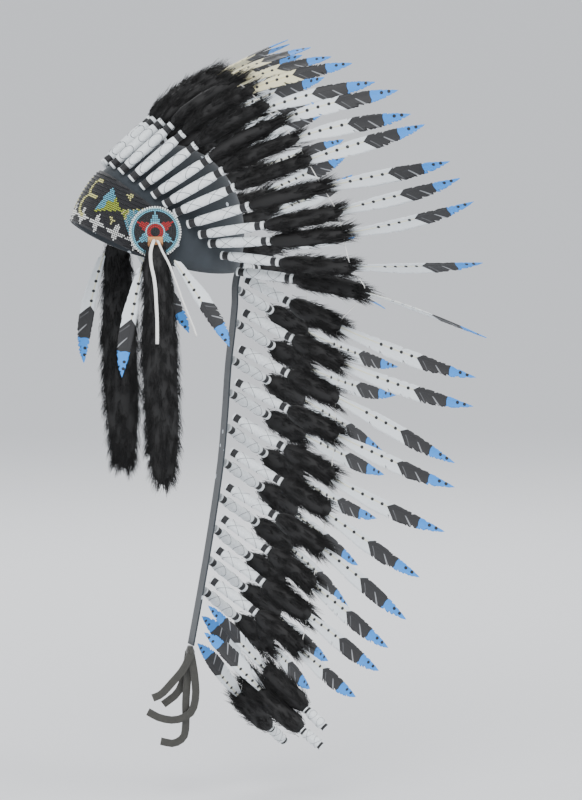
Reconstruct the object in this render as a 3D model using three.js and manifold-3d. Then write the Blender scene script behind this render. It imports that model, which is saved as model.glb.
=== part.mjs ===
// A feathered war bonnet: a cloth cap with a beaded browband, a crown of wrapped feathers laced round
// it, a long double row of the same feathers down a cloth trail, and a rosette with drops at each temple.
// Millimetres. The wearer looks along -X, +Z is up, and the wearer's left side is at -Y.
// The origin is the middle of the head opening.
import * as THREE from 'three';
import { mergeVertices } from 'three/addons/utils/BufferGeometryUtils.js';
import Module from 'manifold-3d';

const wasm = await Module();
wasm.setup();

// Driving dimensions
const HEAD = { length: 104.5, width: 82, height: 121 }; // outer half axes of the cap and its height
const RIM_TILT = 19; // the rim is higher at the forehead, degrees
const SIDE_DIP = 8; // the head opening is lower over the ears
const RIM = { front: 3.5, side: 6 }; // how far the rim reaches below the head opening, degrees
const CAP_WALL = 2;
const BAND = { gap: 1.4, wall: 2.4, halfRound: 90, belowTubes: 4.2 };
const TUBE = { end: 5.3, middle: 6, sides: 8 }; // radii of a wrapped quill
const CROWN_FLUFF = { length: 100, halfWidth: 9.2, halfDepth: 12 };
const TRAIL_FLUFF = { length: 70, halfWidth: 13.5, halfDepth: 12 };
const BLADE = { halfWidth: 10.5, halfThickness: 0.9, rachisShift: 0.25 };
const FEATHER_BEND = 0.45; // how far beyond the tube a feather runs on straight before it bends
const FEATHER_ROOT = { part: 0.98, halfWidth: 4, halfDepth: 1.5 }; // where the blade leaves the fluff
const LOCK_LENGTH = 0.13; // the points of a fluff's ragged end, as a part of the fluff
const STRIP = { halfWidth: 14, wall: 2 };
const ROSETTE = { round: 76, rise: 8, radius: 29.5, wall: 3, pad: 6.5, padRadius: 11 };
const LACE = { front: 4.2, back: 2.8 }; // diameters
const GAP = 0.5;
const TUBE_CLEARANCE = 0.8; // between a crown tube and the cap
const TUBE_FROM_EDGE = 1; // a trail tube starts this far inside the trail's edge

// Sections of a fluff and of a blade: how far along it, and its width as a part of the fullest one
const FLUFF_SECTIONS = [{ part: 0.35, wide: 0.92 }, { part: 0.75, wide: 1 }, { part: 1, wide: 0.85 }];
const BLADE_SECTIONS = [
  { part: 0.2, wide: 0.85 }, { part: 0.45, wide: 1 }, { part: 0.72, wide: 0.8 }, { part: 0.9, wide: 0.5 },
];

// One row for each feather of the crown, from the middle of the forehead to the back of one side.
// round: how far round the cap it stands. rise and lean: how far its tube points up and out to the side.
// bladeRise: how far up its tip lies from the tube's end. All in degrees, lengths in millimetres.
const CROWN = [
  { round: 0, rise: 40, lean: 0, tube: 81, bladeRise: 29.5, blade: 189 },
  { round: 18, rise: 41, lean: 7, tube: 82, bladeRise: 26, blade: 198 },
  { round: 32, rise: 42, lean: 11, tube: 84, bladeRise: 23, blade: 206 },
  { round: 44.5, rise: 41, lean: 15, tube: 84, bladeRise: 22.5, blade: 217 },
  { round: 55.5, rise: 37.5, lean: 18, tube: 83, bladeRise: 19.5, blade: 226 },
  { round: 66, rise: 33.5, lean: 21, tube: 83, bladeRise: 20, blade: 239 },
  { round: 75.5, rise: 30, lean: 25, tube: 84, bladeRise: 17, blade: 236 },
  { round: 84, rise: 23.5, lean: 28, tube: 82, bladeRise: 18.5, blade: 243 },
  { round: 94.5, rise: 17, lean: 31, tube: 81, bladeRise: 13, blade: 253 },
  { round: 104, rise: 9, lean: 34, tube: 84, bladeRise: 14, blade: 252 },
  { round: 112.5, rise: 4, lean: 37, tube: 80, bladeRise: 11.5, blade: 264 },
  { round: 124.5, rise: -4.5, lean: 39, tube: 77, bladeRise: 1.5, blade: 263 },
  { round: 147, rise: -5, lean: 36, tube: 73, bladeRise: -14.5, blade: 254 },
];

// One row for each feather down the left edge of the trail, from the top.
// drop: how far below the origin its tube starts.
const TRAIL = [
  { drop: 43, rise: -25.5, lean: 34, tube: 65, bladeRise: -19.5, blade: 249 },
  { drop: 83, rise: -26, lean: 34, tube: 72, bladeRise: -18, blade: 240 },
  { drop: 127, rise: -24.5, lean: 34, tube: 71, bladeRise: -25.5, blade: 233 },
  { drop: 167, rise: -25.5, lean: 33, tube: 75, bladeRise: -22.5, blade: 227 },
  { drop: 209, rise: -29, lean: 33, tube: 76, bladeRise: -25, blade: 222 },
  { drop: 251, rise: -28.5, lean: 33, tube: 75, bladeRise: -32, blade: 205 },
  { drop: 293, rise: -29, lean: 32, tube: 74, bladeRise: -36, blade: 201 },
  { drop: 331, rise: -33, lean: 32, tube: 73, bladeRise: -36.5, blade: 186 },
  { drop: 369, rise: -33.5, lean: 31, tube: 72, bladeRise: -35, blade: 176 },
  { drop: 406, rise: -34, lean: 31, tube: 70, bladeRise: -38, blade: 157 },
  { drop: 441, rise: -41, lean: 30, tube: 68, bladeRise: -44, blade: 145 },
  { drop: 474, rise: -40, lean: 30, tube: 66, bladeRise: -40, blade: 140 },
];
const RIGHT_ROW_LOWER = 16; // the right row is sewn half a step below the left one

// The line that the trail hangs in, below the cap's back edge
const TRAIL_LINE = [
  { drop: 50, back: 97 },
  { drop: 80, back: 96 },
  { drop: 150, back: 88 },
  { drop: 250, back: 80.5 },
  { drop: 350, back: 66 },
  { drop: 430, back: 52 },
  { drop: 486, back: 41.5 },
];

const finishes = {
  wrapAndFeather: { color: 0xe8ebe6, roughness: 0.8, metalness: 0 },
  capCloth: { color: 0x2c343c, roughness: 0.95, metalness: 0 },
  beadwork: { color: 0x101214, roughness: 0.5, metalness: 0 },
  rosetteBeads: { color: 0x8fc4d8, roughness: 0.35, metalness: 0 },
  fur: { color: 0x0b0b0c, roughness: 1, metalness: 0 },
  lace: { color: 0xf2f2ee, roughness: 0.8, metalness: 0 },
  ribbon: { color: 0x2b2a26, roughness: 0.7, metalness: 0 },
};

const radians = THREE.MathUtils.degToRad;
const axisX = new THREE.Vector3(1, 0, 0);
const axisY = new THREE.Vector3(0, 1, 0);
const group = new THREE.Group();

// Adds one named piece with a material of its own.
function addPiece(name, geometry, finish) {
  const mesh = new THREE.Mesh(geometry, new THREE.MeshStandardMaterial(finishes[finish]));
  mesh.name = name;
  group.add(mesh);
}

// A closed body from its points and faces, turned so that the faces point out.
function closedBody(points, faces) {
  let volume = 0;
  for (const [a, b, c] of faces) {
    volume += points[a].dot(new THREE.Vector3().crossVectors(points[b], points[c]));
  }
  const outward = volume > 0 ? faces : faces.map(([a, b, c]) => [a, c, b]);
  const geometry = new THREE.BufferGeometry();
  geometry.setAttribute('position', new THREE.Float32BufferAttribute(points.flatMap((p) => p.toArray()), 3));
  geometry.setIndex(outward.flat());
  return geometry;
}

// A skin over rings of points, closed at both ends. A ring of one point is a tip.
function loft(rings) {
  const points = rings.flat();
  const faces = [];
  let start = 0;
  for (let i = 0; i + 1 < rings.length; i += 1) {
    const next = start + rings[i].length;
    const count = Math.max(rings[i].length, rings[i + 1].length);
    for (let j = 0; j < count; j += 1) {
      const k = (j + 1) % count;
      if (rings[i].length > 1) {
        faces.push([start + j, start + k, next + (rings[i + 1].length > 1 ? k : 0)]);
      }
      if (rings[i + 1].length > 1) {
        faces.push([start + (rings[i].length > 1 ? j : 0), next + k, next + j]);
      }
    }
    start = next;
  }
  const last = rings[rings.length - 1].length;
  for (let j = 1; j + 1 < rings[0].length; j += 1) {
    faces.push([0, j + 1, j]);
  }
  for (let j = 1; j + 1 < last; j += 1) {
    faces.push([start, start + j, start + j + 1]);
  }
  return closedBody(points, faces);
}

// An oval ring of points round a centre, across two directions.
function oval(centre, across, through, halfWidth, halfDepth, sides = TUBE.sides) {
  const ring = [];
  for (let j = 0; j < sides; j += 1) {
    const turn = ((j + 0.5) / sides) * Math.PI * 2;
    ring.push(centre.clone()
      .addScaledVector(across, halfWidth * Math.cos(turn))
      .addScaledVector(through, halfDepth * Math.sin(turn)));
  }
  return ring;
}

function solidOf(geometry) {
  const plain = geometry.clone();
  plain.deleteAttribute('normal');
  plain.deleteAttribute('uv');
  const merged = mergeVertices(plain, 1e-4);
  return new wasm.Manifold(new wasm.Mesh({
    numProp: 3,
    vertProperties: new Float32Array(merged.attributes.position.array),
    triVerts: new Uint32Array(merged.index.array),
  }));
}

// Several closed bodies fused into one.
function fuse(geometries) {
  const whole = geometries.map(solidOf).reduce((sum, solid) => sum.add(solid));
  const mesh = whole.getMesh();
  const geometry = new THREE.BufferGeometry();
  geometry.setAttribute('position', new THREE.Float32BufferAttribute(mesh.vertProperties, 3));
  geometry.setIndex(Array.from(mesh.triVerts));
  return geometry;
}

// The same body on the wearer's other side.
function mirrored(geometry) {
  const position = geometry.attributes.position;
  const points = [];
  for (let i = 0; i < position.count; i += 1) {
    points.push(new THREE.Vector3(position.getX(i), -position.getY(i), position.getZ(i)));
  }
  const index = geometry.index.array;
  const faces = [];
  for (let i = 0; i < index.length; i += 3) {
    faces.push([index[i], index[i + 1], index[i + 2]]);
  }
  return closedBody(points, faces);
}

// A point on the cap. round goes from the forehead to the back over the left ear, rise from the rim to
// the top, both in degrees, and out is the distance outside the cap.
function onHead(round, rise, out = 0) {
  const turn = radians(round);
  const up = radians(rise);
  const forward = (HEAD.length + out) * Math.cos(up) * Math.cos(turn);
  const left = (HEAD.width + out) * Math.cos(up) * Math.sin(turn);
  const height = (HEAD.height + out) * Math.sin(up) - SIDE_DIP * Math.sin(turn) ** 2 * Math.cos(up);
  const tilt = radians(RIM_TILT);
  return new THREE.Vector3(
    height * Math.sin(tilt) - forward * Math.cos(tilt),
    -left,
    height * Math.cos(tilt) + forward * Math.sin(tilt),
  );
}

function outwardAt(round, rise) {
  return onHead(round, rise, 1).sub(onHead(round, rise, 0)).normalize();
}

// Where the rim of the cap and of the browband is, as a rise: below the opening, but not at the back.
function rimRise(round) {
  const front = Math.max(Math.cos(radians(round)), 0);
  return -RIM.side * Math.sin(radians(round)) ** 2 - RIM.front * front ** 2;
}

// How high up the cap the crown starts: it is sewn along a slanting line, high at the forehead.
function crownRise(round) {
  const LINE_FRONT = new THREE.Vector3(-60, 0, 92);
  const LINE_BACK = new THREE.Vector3(98, 0, -44);
  const slope = (LINE_BACK.z - LINE_FRONT.z) / (LINE_BACK.x - LINE_FRONT.x);
  let low = 0;
  let high = 60;
  for (let step = 0; step < 30; step += 1) {
    const middle = (low + high) / 2;
    const point = onHead(round, middle);
    if (point.z > LINE_FRONT.z + slope * (point.x - LINE_FRONT.x)) {
      high = middle;
    } else {
      low = middle;
    }
  }
  return low;
}

// A direction that points back, up by rise and out to the left by lean.
function heading(rise, lean) {
  const level = Math.cos(radians(rise));
  return new THREE.Vector3(
    level * Math.cos(radians(lean)),
    -level * Math.sin(radians(lean)),
    Math.sin(radians(rise)),
  );
}

// ---- Cap: an open dome of cloth ----
function makeCap() {
  const ROUND_STEPS = 24;
  const RISES = [78, 63, 48, 36, 27, 18, 9, 0];
  const ringAt = (rise, out) => {
    const ring = [];
    for (let j = 0; j < ROUND_STEPS; j += 1) {
      const round = (j / ROUND_STEPS) * 360;
      ring.push(onHead(round, rise || rimRise(round), out));
    }
    return ring;
  };
  const outer = RISES.map((rise) => ringAt(rise, 0));
  const inner = [...RISES].reverse().map((rise) => ringAt(rise, -CAP_WALL));
  return loft([[onHead(0, 90, 0)], ...outer, ...inner, [onHead(0, 90, -CAP_WALL)]]);
}

// ---- Browband: a beaded strip round the forehead, from temple to temple ----
function makeBrowband() {
  const ROUND_STEP = 15;
  const RISE_STEPS = 4;
  const rings = [];
  for (let round = -BAND.halfRound; round <= BAND.halfRound; round += ROUND_STEP) {
    const rim = rimRise(round);
    const height = crownRise(round) - BAND.belowTubes - rim;
    const ring = [];
    for (let i = 0; i <= RISE_STEPS; i += 1) {
      ring.push(onHead(round, rim + (i / RISE_STEPS) * height, BAND.gap));
    }
    for (let i = RISE_STEPS; i >= 0; i -= 1) {
      ring.push(onHead(round, rim + (i / RISE_STEPS) * height, BAND.gap + BAND.wall));
    }
    rings.push(ring);
  }
  return loft(rings);
}

// ---- Feather: a quill wrapped into a tube, a fluff of down over its end, and the feather beyond ----
function makeFeather(base, row, sideways, fluff) {
  const along = heading(row.rise, row.lean);
  const tubeEnd = base.clone().addScaledVector(along, row.tube);
  const tip = tubeEnd.clone().addScaledVector(heading(row.bladeRise, row.lean), row.blade);
  const bend = tubeEnd.clone().addScaledVector(along, row.blade * FEATHER_BEND);
  const curve = new THREE.QuadraticBezierCurve3(tubeEnd, bend, tip);
  const ringAt = (t, halfWidth, halfDepth, shift = 0) => {
    const tangent = t < 0 ? along : curve.getTangent(t);
    const centre = t < 0 ? base.clone().addScaledVector(along, row.tube * (1 + t)) : curve.getPoint(t);
    const across = sideways.clone().addScaledVector(tangent, -sideways.dot(tangent)).normalize();
    const through = new THREE.Vector3().crossVectors(tangent, across);
    return oval(centre.addScaledVector(across, shift), across, through, halfWidth, halfDepth);
  };
  const fluffEnd = fluff.length / row.blade;
  const lockTip = curve.getTangent(fluffEnd).multiplyScalar(fluff.length * LOCK_LENGTH);
  const fluffRings = FLUFF_SECTIONS.map(({ part, wide }) => (
    ringAt(fluffEnd * part, fluff.halfWidth * wide, fluff.halfDepth * wide)
  ));
  fluffRings[fluffRings.length - 1].forEach((point, j) => point.addScaledVector(lockTip, j % 2));
  const bladeRings = BLADE_SECTIONS.map(({ part, wide }) => ringAt(
    fluffEnd + (1 - fluffEnd) * part,
    BLADE.halfWidth * wide,
    BLADE.halfThickness,
    BLADE.halfWidth * wide * BLADE.rachisShift,
  ));
  return loft([
    ringAt(-1, TUBE.end, TUBE.end),
    ringAt(-0.5, TUBE.middle, TUBE.middle),
    ringAt(-0.001, TUBE.end, TUBE.end),
    ...fluffRings,
    ringAt(fluffEnd * FEATHER_ROOT.part, FEATHER_ROOT.halfWidth, FEATHER_ROOT.halfDepth),
    ...bladeRings,
    [tip],
  ]);
}

function crownBase(round) {
  const rise = crownRise(round);
  return onHead(round, rise).addScaledVector(outwardAt(round, rise), TUBE.middle + TUBE_CLEARANCE);
}

function crownFeather(row) {
  const STEP = 4;
  const sideways = crownBase(row.round + STEP).sub(crownBase(row.round - STEP)).normalize();
  return makeFeather(crownBase(row.round), row, sideways, CROWN_FLUFF);
}

// The trail's line as a curve, from inside the cap's back edge to its lower end
const trailCurve = new THREE.CatmullRomCurve3([
  onHead(180, 9, CAP_WALL),
  onHead(180, 1, CAP_WALL),
  ...TRAIL_LINE.map((row) => new THREE.Vector3(row.back, 0, -row.drop)),
]);

function backOfTrail(drop) {
  let low = 0;
  let high = 1;
  for (let step = 0; step < 30; step += 1) {
    const middle = (low + high) / 2;
    if (trailCurve.getPoint(middle).z > -drop) {
      low = middle;
    } else {
      high = middle;
    }
  }
  return trailCurve.getPoint(low).x;
}

function trailFeather(row, lower) {
  const STAND_OFF = 7.2; // the tube's slanting end just clears the cloth
  const drop = row.drop + lower;
  const base = new THREE.Vector3(backOfTrail(drop) + STAND_OFF, TUBE_FROM_EDGE - STRIP.halfWidth, -drop);
  return makeFeather(base, row, new THREE.Vector3(0, 0, -1), TRAIL_FLUFF);
}

function makeStrip() {
  const STEPS = 14;
  const rings = [];
  for (let i = 0; i <= STEPS; i += 1) {
    const centre = trailCurve.getPoint(i / STEPS);
    const tangent = trailCurve.getTangent(i / STEPS);
    const across = new THREE.Vector3(0, STRIP.halfWidth, 0);
    const through = new THREE.Vector3(-tangent.z, 0, tangent.x).multiplyScalar(STRIP.wall / 2);
    rings.push([[1, 1], [1, -1], [-1, -1], [-1, 1]].map(([side, face]) => centre.clone()
      .addScaledVector(across, side)
      .addScaledVector(through, face)));
  }
  return loft(rings);
}

// ---- Ribbon tie: a knot under the trail's end with four ribbon ends hanging from it ----
// x and z run from the knot, in millimetres; y spreads the ribbons apart.
const RIBBONS = [
  [{ x: 0, z: 0 }, { x: -10, z: -20 }, { x: -24, z: -36 }, { x: -38, z: -50 }, { x: -48, z: -54 }],
  [{ x: 0, z: 0 }, { x: 5, z: -30 }, { x: 6, z: -56 }, { x: 0, z: -74 }, { x: -18, z: -82 },
    { x: -38, z: -79 }, { x: -53, z: -71 }],
  [{ x: 0, z: 0 }, { x: -3, z: -34 }, { x: -5, z: -62 }, { x: -5, z: -88 }, { x: -8, z: -104 },
    { x: -20, z: -111 }, { x: -36, z: -108 }],
  [{ x: 0, z: 0 }, { x: -5, z: -28 }, { x: -14, z: -50 }, { x: -32, z: -64 }],
];
const RIBBON = { halfWidth: 4.6, halfThickness: 0.8, spread: 4.5 };
const KNOT = { forward: 1, belowTrail: 8.5 };
const KNOT_SECTIONS = [
  { z: 7, wide: 3, deep: 7 }, { z: 0, wide: 5.5, deep: 9.5 }, { z: -7, wide: 3, deep: 7 },
];

function makeRibbonTie() {
  const knot = trailCurve.getPoint(1).add(new THREE.Vector3(-KNOT.forward, 0, -KNOT.belowTrail));
  const bodies = [loft(KNOT_SECTIONS.map(({ z, wide, deep }) => (
    oval(knot.clone().add(new THREE.Vector3(0, 0, z)), axisX, axisY, wide, deep)
  )))];
  RIBBONS.forEach((points, i) => {
    const y = (i - (RIBBONS.length - 1) / 2) * RIBBON.spread;
    const curve = new THREE.CatmullRomCurve3(points.map((p) => new THREE.Vector3(p.x, y, p.z).add(knot)));
    const steps = points.length * 2;
    const rings = [];
    for (let k = 0; k <= steps; k += 1) {
      const tangent = curve.getTangent(k / steps);
      const across = new THREE.Vector3(-tangent.z, 0, tangent.x).multiplyScalar(RIBBON.halfWidth);
      const through = axisY.clone().multiplyScalar(RIBBON.halfThickness);
      rings.push([[1, 1], [1, -1], [-1, -1], [-1, 1]].map(([side, face]) => curve.getPoint(k / steps)
        .addScaledVector(across, side)
        .addScaledVector(through, face)));
    }
    bodies.push(loft(rings));
  });
  return fuse(bodies);
}

// ---- Rosette: a round beaded disc on a leather pad, sewn over the end of the browband ----
const rosetteOut = outwardAt(ROSETTE.round, ROSETTE.rise);
const rosetteSeat = onHead(ROSETTE.round, ROSETTE.rise, BAND.gap + BAND.wall)
  .addScaledVector(rosetteOut, GAP);

function makeRosette() {
  const SIDES = 24;
  const back = ROSETTE.pad;
  const front = ROSETTE.pad + ROSETTE.wall;
  const profile = [
    [0, 0], [ROSETTE.padRadius, 0], [ROSETTE.padRadius, back], [ROSETTE.radius, back],
    [ROSETTE.radius, back + ROSETTE.wall * 0.6], [ROSETTE.radius * 0.5, front], [0, front],
  ].map(([radius, height]) => new THREE.Vector2(radius, height));
  const geometry = new THREE.LatheGeometry(profile, SIDES);
  geometry.applyQuaternion(new THREE.Quaternion().setFromUnitVectors(axisY, rosetteOut));
  geometry.translate(...rosetteSeat.toArray());
  return geometry;
}

// ---- Temple drop: a long tail of fur under a leather tab, with two short feathers, hung by the lace
// from the rosette's middle. Half sizes of the fur tail at each drop below the tab
const TAB = { down: 12, halfWidth: 9, halfHeight: 6, wall: 2.4 };
const FUR = [
  { drop: 3.6, x: 0, y: -2.2, wide: 8, deep: 1 },
  { drop: 9, x: -0.5, y: -5, wide: 13, deep: 2 },
  { drop: 19, x: -1.5, y: -9.4, wide: 16, deep: 3 },
  { drop: 32, x: -2, y: -11.5, wide: 18, deep: 6 },
  { drop: 62, x: 1, y: -12, wide: 20, deep: 9 },
  { drop: 112, x: 1.5, y: -12, wide: 24, deep: 11 },
  { drop: 160, x: 3, y: -12, wide: 24, deep: 11 },
  { drop: 208, x: 5, y: -12, wide: 23.5, deep: 11 },
  { drop: 252, x: 6.5, y: -12, wide: 20, deep: 10 },
  { drop: 278, x: 7, y: -12, wide: 15, deep: 8 },
];
const FUR_TIPS = 14; // how far the points of the tail's end hang below it
const FUR_LOCKS = { firstRow: 5, rows: 4, perRow: 5, inside: 0.72, out: 7, length: 32 };
const LOCK = { halfDepth: 4, halfWidth: 6, sides: 4 };
// The two feathers of a drop, from the tab: root under the fur, bend where it comes out, and tip
const DROP_FEATHERS = [
  { root: { x: -9, z: -17 }, bend: { x: -18, z: -27 }, tip: { x: -43, z: -160 }, halfWidth: 14 },
  { root: { x: 10, z: -15 }, bend: { x: 21, z: -22 }, tip: { x: 88, z: -126 }, halfWidth: 15 },
];
const DROP_FEATHER_DEPTH = -8.5;
const DROP_FEATHER_SECTIONS = [
  { part: 0.2, wide: 0.8 }, { part: 0.5, wide: 1 }, { part: 0.78, wide: 0.8 }, { part: 0.93, wide: 0.5 },
];
const DROP_QUILL = { root: 2, bend: 2.2, halfThickness: 1, sides: 6 };
const rosetteDown = new THREE.Vector3(0, 0, -1).addScaledVector(rosetteOut, rosetteOut.z).normalize();
const rosetteAcross = new THREE.Vector3().crossVectors(rosetteDown, rosetteOut);
const rosetteFront = rosetteSeat.clone().addScaledVector(rosetteOut, ROSETTE.pad + ROSETTE.wall);
const tabMiddle = rosetteFront.clone()
  .addScaledVector(rosetteDown, TAB.down)
  .addScaledVector(rosetteOut, GAP + TAB.wall / 2);

function makeTempleDrop() {
  const at = (row) => tabMiddle.clone().add(new THREE.Vector3(row.x, row.y, -row.drop));
  const end = FUR[FUR.length - 1];
  const lastRing = oval(at(end), axisX, axisY, end.wide, end.deep);
  lastRing.forEach((point, j) => point.add(new THREE.Vector3(0, 0, j % 2 ? -FUR_TIPS : 0)));
  const fur = loft([
    ...FUR.slice(0, -1).map((row) => oval(at(row), axisX, axisY, row.wide, row.deep)),
    lastRing,
    [at(end)],
  ]);
  const tabEdge = (side) => [[1, 1], [1, -1], [-1, -1], [-1, 1]].map(([down, face]) => tabMiddle.clone()
    .addScaledVector(rosetteAcross, side * TAB.halfWidth)
    .addScaledVector(rosetteDown, down * TAB.halfHeight)
    .addScaledVector(rosetteOut, (face * TAB.wall) / 2));
  const bodies = [fur, loft([tabEdge(-1), tabEdge(1)])];
  for (let r = 0; r < FUR_LOCKS.rows; r += 1) {
    const row = FUR[r + FUR_LOCKS.firstRow];
    for (let k = 0; k < FUR_LOCKS.perRow; k += 1) {
      const turn = ((k + (r % 2) / 2) / FUR_LOCKS.perRow) * Math.PI * 2;
      const outward = new THREE.Vector3(Math.cos(turn), Math.sin(turn), 0);
      const root = at(row).add(new THREE.Vector3(
        row.wide * FUR_LOCKS.inside * Math.cos(turn),
        row.deep * FUR_LOCKS.inside * Math.sin(turn),
        0,
      ));
      const tip = root.clone()
        .addScaledVector(outward, FUR_LOCKS.out)
        .add(new THREE.Vector3(0, 0, -FUR_LOCKS.length));
      const side = new THREE.Vector3(-outward.y, outward.x, 0);
      bodies.push(loft([oval(root, outward, side, LOCK.halfDepth, LOCK.halfWidth, LOCK.sides), [tip]]));
    }
  }
  for (const feather of DROP_FEATHERS) {
    const place = (spot) => tabMiddle.clone().add(new THREE.Vector3(spot.x, DROP_FEATHER_DEPTH, spot.z));
    const bend = place(feather.bend);
    const run = place(feather.tip).sub(bend);
    const across = new THREE.Vector3(-run.z, 0, run.x).normalize();
    const ringAt = (centre, wide) => (
      oval(centre, across, axisY, wide, DROP_QUILL.halfThickness, DROP_QUILL.sides)
    );
    bodies.push(loft([
      ringAt(place(feather.root), DROP_QUILL.root),
      ringAt(bend, DROP_QUILL.bend),
      ...DROP_FEATHER_SECTIONS.map(({ part, wide }) => (
        ringAt(bend.clone().addScaledVector(run, part), feather.halfWidth * wide)
      )),
      [place(feather.tip)],
    ]));
  }
  return fuse(bodies);
}

// ---- Laces: the free ends of the lace that is knotted through the rosette and the tab ----
// Points from the tab's face, chosen by hand: x back, y out from the head, z up
const LACE_FRONT_ROUTE = [
  { x: -2, y: 0.4, z: 0 }, { x: -2.8, y: -3.4, z: 1 }, { x: -4.6, y: -7.2, z: -1 },
  { x: -7.5, y: -10.5, z: -7 }, { x: -9.2, y: -13.5, z: -15 }, { x: -9.2, y: -17.6, z: -27 },
  { x: -6.8, y: -20.8, z: -41 }, { x: -5.3, y: -22.8, z: -56 }, { x: -4.7, y: -24, z: -72 },
  { x: -4, y: -25, z: -90 }, { x: -4, y: -26, z: -105 }, { x: -4.3, y: -27, z: -120 },
];
const LACE_BACK_ROUTE = [
  { x: 2, y: -0.5, z: 0 }, { x: 1.3, y: -4, z: 1 }, { x: 2.2, y: -7.4, z: -1 },
  { x: 4.2, y: -10, z: -7 }, { x: 7, y: -12.4, z: -14 }, { x: 11.5, y: -15, z: -23 },
  { x: 16, y: -16.8, z: -34 }, { x: 20, y: -17, z: -45 }, { x: 24.5, y: -15.5, z: -56 },
  { x: 29.5, y: -13, z: -69 }, { x: 37, y: -10.5, z: -86 }, { x: 43.5, y: -9, z: -101 },
  { x: 48, y: -8.5, z: -113 },
];
const laceExit = tabMiddle.clone().addScaledVector(rosetteOut, TAB.wall / 2 + GAP);

function makeLace(route, diameter, steps) {
  const SIDES = 8;
  const section = new THREE.Shape();
  for (let j = 0; j < SIDES; j += 1) {
    const turn = (j / SIDES) * Math.PI * 2;
    const x = (diameter / 2) * Math.cos(turn);
    const y = (diameter / 2) * Math.sin(turn);
    if (j === 0) {
      section.moveTo(x, y);
    } else {
      section.lineTo(x, y);
    }
  }
  section.closePath();
  const path = new THREE.CatmullRomCurve3(route.map((p) => new THREE.Vector3(p.x, p.y, p.z).add(laceExit)));
  return new THREE.ExtrudeGeometry(section, { steps, extrudePath: path, bevelEnabled: false });
}

addPiece('cap', makeCap(), 'capCloth');
addPiece('browband', makeBrowband(), 'beadwork');
addPiece('trail_strip', makeStrip(), 'capCloth');
addPiece('ribbon_tie', makeRibbonTie(), 'ribbon');

CROWN.forEach((row, i) => {
  const feather = crownFeather(row);
  if (i === 0) {
    addPiece('crown_feather_front', feather, 'wrapAndFeather');
  } else {
    addPiece(`crown_feather_left_${i}`, feather, 'wrapAndFeather');
    addPiece(`crown_feather_right_${i}`, mirrored(feather), 'wrapAndFeather');
  }
});
TRAIL.forEach((row, i) => {
  addPiece(`trail_feather_left_${i + 1}`, trailFeather(row, 0), 'wrapAndFeather');
  addPiece(`trail_feather_right_${i + 1}`, mirrored(trailFeather(row, RIGHT_ROW_LOWER)), 'wrapAndFeather');
});

const rosette = makeRosette();
const templeDrop = makeTempleDrop();
const laceFront = makeLace(LACE_FRONT_ROUTE, LACE.front, 14);
addPiece('rosette_left', rosette, 'rosetteBeads');
addPiece('rosette_right', mirrored(rosette), 'rosetteBeads');
addPiece('temple_drop_left', templeDrop, 'fur');
addPiece('temple_drop_right', mirrored(templeDrop), 'fur');
addPiece('lace_left_front', laceFront, 'lace');
addPiece('lace_left_back', makeLace(LACE_BACK_ROUTE, LACE.back, 18), 'lace');
addPiece('lace_right_front', mirrored(mergeVertices(laceFront)), 'lace');

export default group;
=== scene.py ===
import math
import random

import bpy
import numpy as np
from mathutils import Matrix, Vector


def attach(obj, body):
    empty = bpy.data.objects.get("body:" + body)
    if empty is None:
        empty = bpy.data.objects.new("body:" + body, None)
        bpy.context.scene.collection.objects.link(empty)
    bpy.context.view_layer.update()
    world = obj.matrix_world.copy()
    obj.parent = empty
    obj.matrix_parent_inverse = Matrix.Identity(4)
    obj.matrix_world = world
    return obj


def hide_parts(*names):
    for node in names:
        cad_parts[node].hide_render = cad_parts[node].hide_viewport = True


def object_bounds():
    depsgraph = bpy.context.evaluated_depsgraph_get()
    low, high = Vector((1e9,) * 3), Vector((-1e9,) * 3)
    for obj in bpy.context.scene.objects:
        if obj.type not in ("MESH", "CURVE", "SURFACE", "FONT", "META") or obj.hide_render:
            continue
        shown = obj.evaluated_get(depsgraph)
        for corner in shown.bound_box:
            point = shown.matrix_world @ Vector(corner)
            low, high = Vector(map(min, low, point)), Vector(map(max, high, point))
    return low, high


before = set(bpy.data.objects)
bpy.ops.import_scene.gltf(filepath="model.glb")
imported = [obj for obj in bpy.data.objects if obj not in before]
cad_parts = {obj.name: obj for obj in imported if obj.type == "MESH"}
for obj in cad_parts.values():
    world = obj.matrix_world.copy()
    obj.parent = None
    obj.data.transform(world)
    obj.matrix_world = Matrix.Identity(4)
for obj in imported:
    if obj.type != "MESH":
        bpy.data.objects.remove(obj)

cad_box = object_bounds()

# Camera. It stands far off to the wearer's left, a little round to the front and a little above, so
# that the bonnet is seen from the side almost without perspective.
ROUND_TO_FRONT = math.radians(14)
ABOVE = math.radians(5)
DISTANCE = 9.0
VIEW_HEIGHT = 0.96
VIEW_MIDDLE = (0.161, -0.188)
bpy.ops.object.select_all(action="DESELECT")
bpy.ops.object.camera_add(rotation=(math.pi / 2 - ABOVE, 0, -ROUND_TO_FRONT))
camera = bpy.context.object
camera.data.lens = camera.data.sensor_width * DISTANCE / VIEW_HEIGHT
camera.data.clip_end = 40
turn = camera.rotation_euler.to_matrix()
camera.location = turn @ Vector((*VIEW_MIDDLE, DISTANCE))
bpy.context.scene.camera = camera

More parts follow.
